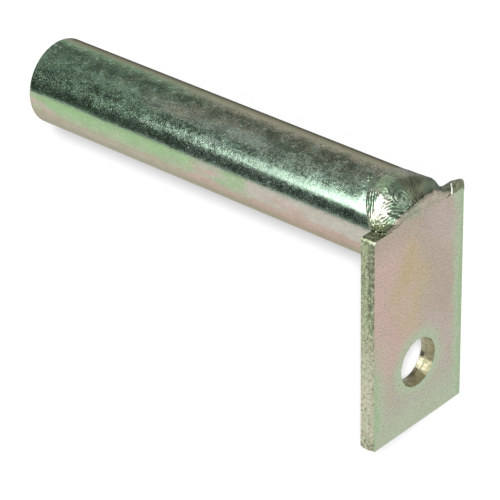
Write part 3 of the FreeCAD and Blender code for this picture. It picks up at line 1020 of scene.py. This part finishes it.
def build_plate(shape, look):
    """The sheared plate as one mesh: two faces, a cut edge with its torn band, and the hole."""
    bm = bmesh.new()
    torn_layer = bm.verts.layers.float.new("torn")
    rim, burr = shape.rim_round, shape.burr_break
    # The depth and inset of each ring of the edge, from the outer face to the inner one
    levels = [(0.0, FLAT_INSET), (0.0, rim)]
    for turned in RIM_ANGLES:
        angle = math.radians(turned)
        levels.append((rim * (1 - math.cos(angle)), rim * (1 - math.sin(angle))))
    for step in range(WALL_STEPS + 1):
        levels.append((mix(rim, PLATE_THICKNESS - burr, step / WALL_STEPS), 0.0))
    levels += [(PLATE_THICKNESS, burr), (PLATE_THICKNESS, FLAT_INSET)]
    flat_levels = (0, 1, len(levels) - 1)
    rings = []
    for level, (x, inset) in enumerate(levels):
        ring = []
        for point, normal in plate_outline(shape, inset):
            place = Vector((x, point.x, point.y))
            torn, back = 0.0, 0.0
            if level not in flat_levels:
                torn, back = torn_share(x, place), edge_inset(x, place, shape)
            vert = bm.verts.new(place - Vector((0, normal.x, normal.y)) * back)
            vert[torn_layer] = torn
            ring.append(vert)
        rings.append(ring)
    flat_strips = (0, len(levels) - 2)
    for index, face in enumerate(sheet_faces(bm, rings, closed_columns=True)):
        strip = index // len(rings[0])
        face.material_index = FACE_FINISH if strip in flat_strips else EDGE_FINISH
    hole = hole_rings(bm, shape, torn_layer)
    for face in sheet_faces(bm, hole, closed_columns=True):
        face.material_index = HOLE_FINISH
    for end in (0, -1):
        edges = ring_edges(bm, rings[end]) + ring_edges(bm, hole[end])
        bmesh.ops.triangle_fill(bm, use_beauty=True, use_dissolve=False, edges=edges)
    finishes = [face_zinc(look), sheared_zinc(look), hole_zinc(look)]
    return finish_piece("flag_plate_sheared", bm, finishes, ["flag_plate"])


def hole_rings(bm, shape, torn_layer):
    """The hole's wall from the outer face to the inner one."""
    centre = Vector((0, FOOT_Y - shape.hole_to_foot, 0))
    land_start = PLATE_THICKNESS - shape.hole_land
    # Each ring's depth, radius and whether it is torn
    levels = []
    for step in range(BREAK_OUT_STEPS + 1):
        share = step / BREAK_OUT_STEPS
        levels.append((land_start * share, mix(shape.mouth_radius, shape.hole_radius, share), 1.0))
    levels += [
        (land_start + 0.12 * MM, shape.hole_radius, 0.0),
        (PLATE_THICKNESS - shape.hole_entry, shape.hole_radius, 0.0),
        (PLATE_THICKNESS, shape.hole_radius + shape.hole_entry, 0.0),
    ]
    rings = []
    for x, radius, torn in levels:
        ring = []
        for index in range(HOLE_POINTS):
            angle = 2 * math.pi * index / HOLE_POINTS
            way = Vector((0, math.cos(angle), math.sin(angle)))
            place = Vector((x, 0, 0)) + centre + way * radius
            back = 0.0
            if torn:
                lumps = 1 + rough(place, 1.1 * MM, 2.0)
                chips = rise(rough(place, 1.6 * MM, 4.0), 0.25, 0.6) * (1 - rise(x, 0.0, 0.9 * MM))
                back = 0.09 * MM * lumps * rise(land_start - x, 0.0, 0.5 * MM) + 0.16 * MM * chips
            vert = bm.verts.new(place + way * back)
            vert[torn_layer] = torn
            ring.append(vert)
        rings.append(ring)
    return rings


def lug_height(shape, x, z):
    """The lug's height over the head: full at the outer face and the far corner, none at the inner face."""
    from_corner = z - PLATE_LOW.z
    height = shape.lug_rise * mix(1.0, 0.4, rise(from_corner, 1.5 * MM, 7.0 * MM))
    height *= 1 - rise(from_corner, shape.lug_width - 1.6 * MM, shape.lug_width)
    height *= mix(0.78, 1.0, rise(from_corner, 0.0, 0.5 * MM))
    height *= 1 - min(x / PLATE_THICKNESS, 1.0) ** shape.lug_fall
    front = min(x / shape.lug_front_round, 1.0)
    return height * math.sqrt(1 - (1 - front) ** 2)


def build_lug(shape, look):
    """The lug on the plate's far head corner: a ridge that leans on the outer face, with a lumpy skin."""
    bm = bmesh.new()
    head = -shape.head_above_axis
    low_x, high_x = FRONT_GAP, PLATE_THICKNESS - 0.05 * MM
    crease_z = PLATE_LOW.z + shape.lug_crease
    steps, across, under = LUG_STEPS
    rings = []
    for step in range(steps + 1):
        z = PLATE_LOW.z + 0.06 * MM + shape.lug_width * step / steps
        ring = []
        for index in range(across + 1):
            x = mix(low_x, high_x, (index / across) ** 2)
            place = Vector((x, head - lug_height(shape, x, z), z))
            lump = 0.1 * MM * rough(place, 1.5 * MM, 6.0) + 0.05 * MM * rough(place, 0.5 * MM, 8.0)
            from_crease = z + LUG_CREASE_SLANT * x - crease_z
            lump -= 0.14 * MM * math.exp(-((from_crease / (0.35 * MM)) ** 2))
            place.y -= lump * rise(x, 0.0, 0.8 * MM) * (1 - rise(x, 3.2 * MM, 4.4 * MM))
            ring.append(bm.verts.new(place))
        for index in range(under + 1):
            ring.append(bm.verts.new((mix(high_x, low_x, index / under), head + LUG_ROOT, z)))
        rings.append(ring)
    sheet_faces(bm, rings, closed_columns=True)
    for ring in (rings[0], rings[-1]):
        bm.faces.new(ring)
    return finish_piece("head_lug", bm, [lug_zinc(look)])


# The weld. Its angles go round the bar, in degrees, with 90 over the middle of the head


def end_share(shape, angle):
    """How full the weld is, from 0 at its ends to 1."""
    return ease(min(angle - shape.first_angle, shape.last_angle - angle) / shape.end_run)


def saddle_start(shape, head):
    """The angle at which the weld's leg on the plate comes up to the head."""
    return math.degrees(math.asin(head / (BAR_RADIUS + shape.plate_leg)))


def weld_section(shape, head, angle):
    """The points of one section of the weld's skin, as (x, radius), and how far it is on the head."""
    full = end_share(shape, angle)
    from_top = angle - shape.top_angle
    spread = NEAR_LOBE if from_top < 0 else FAR_LOBE
    lobe = math.cos(math.radians(min(abs(from_top) / spread, 1.0) * 90)) ** 2
    side_leg = shape.side_leg * mix(0.72, 1.0, rise(abs(angle - 90.0), 80.0, 55.0))
    leg = mix(shape.end_size, mix(side_leg, shape.top_leg, lobe), full)
    foot = mix(shape.end_size, shape.plate_leg, full)
    fillet = [(PLATE_THICKNESS + leg * along, BAR_RADIUS + foot * out) for along, out in FILLET]
    on_head = ease((min(angle, 180 - angle) - saddle_start(shape, head)) / shape.saddle_run)
    if on_head == 0.0:
        return fillet, on_head

    along = Vector((math.radians(angle) * BAR_RADIUS, 0, 0))
    arch = shape.low_arch * rise(angle, 17.0, 45.0) + shape.high_arch * rise(angle, 55.0, 110.0)
    arch -= (shape.low_arch + shape.high_arch) * rise(angle, 128.0, 170.0)
    arch += shape.high_arch * (0.5 * rough(along, 2.6 * MM, 21.0) + 0.3 * rough(along, 0.9 * MM, 23.0))
    arch = max(arch, 0.0)
    lift = math.sin(math.radians(angle))
    base = head / lift
    front = base + (shape.skim + arch) / lift
    height = full * mix(shape.crown, shape.far_crown, ease(from_top / 35))
    far_rise = rise(angle, 88.0, 112.0) * (1 - rise(angle, 130.0, 150.0))
    heel = BAR_RADIUS + mix(-0.15, 0.22, far_rise) * MM
    heel = max(heel, base + shape.skim / lift)
    setback = mix(shape.front_setback, 0.1 * MM, rise(angle, 80.0, 125.0))
    fold = mix(0.4, 0.15, rise(angle, 70.0, 120.0))
    swell = (0.15 + 1.35 * rise(angle, 88.0, 114.0) - 0.8 * rise(angle, 124.0, 150.0)) * MM
    # From the toe on the bar, over the heel above the plate, and down the front to the head
    saddle = [
        (PLATE_THICKNESS + leg, BAR_RADIUS),
        (PLATE_THICKNESS + leg * 0.66, BAR_RADIUS + height * 0.75),
        (PLATE_THICKNESS + leg * 0.28, BAR_RADIUS + height),
        (PLATE_THICKNESS * 0.92, heel),
        (PLATE_THICKNESS * 0.5, (heel + front) / 2 + swell),
        (setback + 0.95 * MM, mix(heel, front, 0.9)),
        (setback + 0.3 * MM, mix(base, front, 0.97)),
        (setback + 0.05 * MM, mix(base, front, 0.84)),
        (setback, mix(base, front, fold + 0.14)),
        (0.01 * MM, mix(base, front, fold - 0.08)),
        (FRONT_GAP, base - 0.45 * MM / lift),
    ]
    section = [(mix(a[0], b[0], on_head), mix(a[1], b[1], on_head)) for a, b in zip(fillet, saddle)]
    return section, on_head


def wave(run, pitch):
    """The height of a row of ripples, between -1 and 1."""
    return math.cos(2 * math.pi * run / pitch)


def ripples(shape, angle, leg, toe, place):
    """The ripples' height between -1 and 1 and their strength, by where on the weld the place lies."""
    run = math.radians(angle) * BAR_RADIUS
    wander = 0.55 * MM * rough(place, 2.2 * MM, 1.0) + 0.22 * MM * rough(place, 0.8 * MM, 2.0)
    comes_and_goes = 0.8 + 0.7 * rough(place, 1.6 * MM, 4.0)
    pitch = shape.ripple_pitch
    from_toe = toe - leg + 0.35 * MM * rough(place, 4.5 * MM, 14.0)
    from_eye = math.hypot(run - math.radians(SWIRL_ANGLE) * BAR_RADIUS, leg - SWIRL_LEG)
    near_side = rise(angle, 6.0, 20.0)

    by_toe = rise(from_toe, 0.05 * MM, 0.4 * MM) * (1 - rise(from_toe, 2.8 * MM, 4.0 * MM))
    by_toe *= near_side * (1 - rise(angle, 74.0, 96.0))
    crossing = (1 - rise(leg, -1.4 * MM, 0.8 * MM)) * near_side * (1 - rise(angle, 48.0, 60.0))
    swirl = 1.4 * (1 - rise(from_eye, 2.2 * MM, 3.4 * MM))
    # Each kind's height here, its strength, and its share of the place
    kinds = (
        (wave(from_toe + 0.3 * wander, pitch * 0.78), 0.55, by_toe),
        (wave(run + 1.2 * wander + 1.6 * leg, pitch * 1.4), 0.95, crossing),
        (wave(from_eye + 0.4 * wander, pitch * 0.95), 0.7, swirl),
        (wave(run + 1.6 * wander - 0.5 * leg, pitch * 1.3), 0.16, 0.15),
    )
    total = sum(share for _, _, share in kinds)
    height = sum(level * share for level, _, share in kinds) / total
    strength = sum(power * share for _, power, share in kinds) / total
    comes_and_goes = mix(comes_and_goes, 1.0, by_toe / total)
    return height, strength * max(comes_and_goes, 0.1)


def build_weld(shape, plate, look):
    """The rippled saddle weld as one closed mesh, whose hidden side lies within the bar and plate."""
    head = plate.head_above_axis
    bm = bmesh.new()
    valley_layer = bm.verts.layers.float.new("valley")
    front_layer = bm.verts.layers.float.new("front")
    highlight_patch_layer = bm.verts.layers.float.new("smooth")
    start = saddle_start(shape, head)
    highest = CAD_BOX[0][1] + 0.02 * MM
    last = shape.across - 1
    rows = []
    for station in range(shape.stations + 1):
        angle = mix(shape.first_angle, shape.last_angle, station / shape.stations)
        section, on_head = weld_section(shape, head, angle)
        points = smooth_through([(x, radius, 0.0) for x, radius in section], shape.across)
        full = end_share(shape, angle)
        toe = section[0][0] - PLATE_THICKNESS
        row = []
        for index, point in enumerate(points):
            slope = (points[min(index + 1, last)] - points[max(index - 1, 0)]).normalized()
            out = Vector((-slope.y, slope.x))
            if out.y < 0 and out.x > 0:
                out = -out
            inside = rise(index / last, 0.0, 0.05) * (1 - rise(index / last, 0.92, 1.0)) * full
            place = polar(point.x, point.y, angle)
            leg = point.x - PLATE_THICKNESS
            height, strength = ripples(shape, angle, leg, toe, place)
            front = on_head * (1 - rise(point.x, 0.4 * MM, 1.1 * MM))
            strength *= 1 - 0.85 * front
            lumps = 0.1 * MM * rough(place, 2.4 * MM, 8.0) + 0.05 * MM * rough(place, 0.8 * MM, 12.0)
            lumps *= 1 - 0.7 * rise(angle, 80.0, 105.0)
            push = inside * (0.5 * shape.ripple_depth * strength * (height - 0.7) + lumps)
            x = max(point.x + out.x * push, FRONT_GAP)
            radius = point.y + out.y * push
            if start < angle < 180 - start and 0.5 * MM < x < PLATE_THICKNESS:
                radius = max(radius, (head + 0.02 * MM) / math.sin(math.radians(angle)))
            spot = polar(x, radius, angle)
            spot.y = max(spot.y, highest)
            vert = bm.verts.new(spot)
            scaled = rise(-height, 0.0, 0.9) * inside * min(strength * 1.4, 1.0)
            vert[valley_layer] = scaled * mix(0.5, 1.0, rise(toe - leg, 2.6 * MM, 4.2 * MM))
            vert[front_layer] = front
            # The smooth patch, which the finish paints pale where the highlight falls: painted highlight
            from_patch = abs(angle - HIGHLIGHT_PATCH_ANGLE), abs(leg - HIGHLIGHT_PATCH_LEG)
            smooth = 1 - rise(from_patch[0], 16.0, 22.0)
            vert[highlight_patch_layer] = smooth * (1 - rise(from_patch[1], 1.0 * MM, 2.2 * MM))
            row.append(vert)
        # The hidden root, within the plate and within the bar
        plate_root_x = min(section[-1][0] + 0.3 * MM, PLATE_THICKNESS + 0.2 * MM)
        bar_root_x = section[0][0] - WELD_ROOT * full
        row.append(bm.verts.new(polar(plate_root_x, section[-1][1] - WELD_ROOT, angle)))
        row.append(bm.verts.new(polar(bar_root_x, BAR_RADIUS - WELD_ROOT, angle)))
        rows.append(row)
    sheet_faces(bm, rows, closed_columns=True)
    for row in (rows[0], rows[-1]):
        bm.faces.new(row)
    return finish_piece("saddle_weld", bm, [weld_zinc(look)], ["weld_bead"], WELD_CREASE)


def build_spatter(look):
    """Small beads of weld metal that landed on the bar, the plate's head and the ridge beside it."""
    bm = bmesh.new()
    for name in ("valley", "front", "smooth"):
        bm.verts.layers.float.new(name)
    head = -bpy.context.scene.gate_pin_plate.head_above_axis
    places = []
    for x, angle, size in BAR_BEADS:
        places.append((polar(x * MM, BAR_RADIUS, angle), polar(0, 1, angle), size))
    for x, z, size in HEAD_BEADS:
        places.append((Vector((x * MM, head, z * MM)), Vector((0, -1, 0)), size))
    for x, y, z, size in RIDGE_BEADS:
        places.append((Vector((x, y, z)) * MM, Vector(RIDGE_OUT), size))
    for centre, out, size in places:
        turn = out.to_track_quat("Z", "Y").to_matrix().to_4x4()
        flattened = Matrix.Diagonal((size * MM, size * 1.4 * MM, size * 0.55 * MM, 1))
        place = Matrix.Translation(centre) @ turn @ flattened
        made = bmesh.ops.create_icosphere(bm, subdivisions=3, radius=1.0, matrix=place)
        for vert in made["verts"]:
            vert.co += out * 0.08 * MM * rough(vert.co, 0.35 * MM, size)
    return finish_piece("weld_spatter", bm, [weld_zinc(look)])


# The stage


def build_floor(studio):
    bm = bmesh.new()
    bmesh.ops.create_grid(bm, x_segments=8, y_segments=8, size=4.0)
    mesh = bpy.data.meshes.new("floor")
    bm.to_mesh(mesh)
    bm.free()
    floor = bpy.data.objects.new("floor", mesh)
    floor.location = (0.0, 0.0, CAD_BOX[0][2] - 0.02 * MM)
    bpy.context.scene.collection.objects.link(floor)
    f = Finish("floor")
    seen = f.tree.nodes.new("ShaderNodeLightPath").outputs["Is Camera Ray"]
    f.shader.inputs["Base Color"].default_value = (*studio.floor_colour, 1.0)
    f.shader.inputs["Emission Color"].default_value = (*studio.floor_glow, 1.0)
    f.feed(f.shader.inputs["Emission Strength"], f.times(seen, studio.floor_lift))
    f.shader.inputs["Roughness"].default_value = 1.0
    f.shader.inputs["Specular IOR Level"].default_value = 0.0
    mesh.materials.append(f.material)
    floor.visible_glossy = False


def build_world(studio):
    """A soft room round the bar's axis: bright on one side, dark above, with a long window."""
    world = bpy.data.worlds.new("room")
    bpy.context.scene.world = world
    f = Finish.of_world(world)
    x = f.axes()[0]
    turn = f.round_axis()
    beyond = f.span(x, -0.3, 0.2)
    room = f.times(f.graph(turn, FAR_WALLS), beyond)
    room = f.scaled(f.graph(turn, NEAR_WALLS), f.minus(1.0, beyond), room)

    # The window's lower edge rises and its upper edge falls to the end where it closes
    from_close = f.minus(x, 0.54)
    lower_edge = f.most(f.scaled(from_close, 40.0, 17.6), 12.0)
    upper_edge = f.sums("MINIMUM", f.most(f.scaled(from_close, -620.0, 37.0), 19.0), 66.0)
    above = f.span(f.minus(turn, lower_edge), -4.0, 4.0)
    below = f.span(f.minus(turn, upper_edge), 4.0, -4.0)
    closing = f.span(x, 0.59, 0.528)
    fading = f.span(x, -0.1, 0.2, 0.4, 1.0)
    room = f.plus(room, f.times(above, below, closing, fading, studio.window))

    light_path = f.tree.nodes.new("ShaderNodeLightPath")
    shiny = light_path.outputs["Is Glossy Ray"]
    seen = f.scaled(light_path.outputs["Is Camera Ray"], 1.0 - studio.sky, studio.sky)
    level = f.plus(f.times(room, shiny), f.times(seen, f.minus(1.0, shiny)))
    f.shader.inputs["Color"].default_value = (1.0, 1.0, 1.0, 1.0)
    f.feed(f.shader.inputs["Strength"], level)


def build_lamp(studio):
    lamp = bpy.data.lights.new("lamp", "SUN")
    lamp.energy = studio.lamp
    lamp.angle = studio.lamp_spread
    holder = bpy.data.objects.new("lamp", lamp)
    holder.rotation_euler = Vector(studio.lamp_way).to_track_quat("-Z", "Y").to_euler()
    holder.visible_glossy = False
    bpy.context.scene.collection.objects.link(holder)


def build_camera(studio):
    ahead = Vector(studio.ahead).normalized()
    right = ahead.cross(Vector(studio.upward)).normalized()
    up = right.cross(ahead)
    turn = Matrix((right, up, -ahead)).transposed()
    camera = bpy.data.cameras.new("camera")
    camera.lens = studio.lens
    camera.sensor_width = 36.0
    camera.clip_start = 0.01
    holder = bpy.data.objects.new("camera", camera)
    holder.matrix_world = Matrix.Translation(Vector(studio.eye)) @ turn.to_4x4()
    bpy.context.scene.collection.objects.link(holder)
    bpy.context.scene.camera = holder


# Operators


class GATEPIN_OT_bar(bpy.types.Operator):
    """Gives the round bar its passivated finish"""

    bl_idname = "gate_pin.bar"
    bl_label = "Bar"

    def execute(self, context):
        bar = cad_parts["pin_bar"]
        bar.data.materials.clear()
        bar.data.materials.append(bar_zinc(context.scene.gate_pin_look))
        return {"FINISHED"}


class GATEPIN_OT_plate(bpy.types.Operator):
    """Builds the sheared flag plate and its lug"""

    bl_idname = "gate_pin.plate"
    bl_label = "Plate"

    def execute(self, context):
        scene = context.scene
        build_plate(scene.gate_pin_plate, scene.gate_pin_look)
        build_lug(scene.gate_pin_plate, scene.gate_pin_look)
        return {"FINISHED"}


class GATEPIN_OT_weld(bpy.types.Operator):
    """Builds the rippled saddle weld and its spatter"""

    bl_idname = "gate_pin.weld"
    bl_label = "Weld"

    def execute(self, context):
        scene = context.scene
        build_weld(scene.gate_pin_weld, scene.gate_pin_plate, scene.gate_pin_look)
        build_spatter(scene.gate_pin_look)
        return {"FINISHED"}


class GATEPIN_OT_stage(bpy.types.Operator):
    """Builds the floor, the room's light and the camera"""

    bl_idname = "gate_pin.stage"
    bl_label = "Stage"

    def execute(self, context):
        studio = context.scene.gate_pin_studio
        build_floor(studio)
        build_world(studio)
        build_lamp(studio)
        build_camera(studio)
        context.scene.view_settings.view_transform = "Standard"
        return {"FINISHED"}


class GATEPIN_PT_panel(bpy.types.Panel):
    """Lists the pieces and their settings"""

    bl_label = "Gate hinge pin"
    bl_space_type = "VIEW_3D"
    bl_region_type = "UI"
    bl_category = "Gate Pin"

    def draw(self, context):
        for operator in OPERATORS:
            self.layout.operator(operator.bl_idname)
        for name, group in SETTINGS.items():
            box = self.layout.box()
            box.label(text=group.__name__)
            settings = getattr(context.scene, name)
            for field in group.__annotations__:
                box.prop(settings, field)


OPERATORS = (GATEPIN_OT_bar, GATEPIN_OT_plate, GATEPIN_OT_weld, GATEPIN_OT_stage)
SETTINGS = {
    "gate_pin_plate": PlateShape,
    "gate_pin_weld": WeldShape,
    "gate_pin_look": Look,
    "gate_pin_studio": Studio,
}


def register():
    for group in SETTINGS.values():
        bpy.utils.register_class(group)
    for operator in OPERATORS + (GATEPIN_PT_panel,):
        bpy.utils.register_class(operator)
    for name, group in SETTINGS.items():
        setattr(bpy.types.Scene, name, PointerProperty(type=group))


def unregister():
    for name in SETTINGS:
        delattr(bpy.types.Scene, name)
    for kind in (GATEPIN_PT_panel,) + OPERATORS + tuple(SETTINGS.values()):
        bpy.utils.unregister_class(kind)


def main():
    register()
    bpy.ops.gate_pin.bar()
    bpy.ops.gate_pin.plate()
    bpy.ops.gate_pin.weld()
    bpy.ops.gate_pin.stage()


if __name__ == "__main__":
    main()
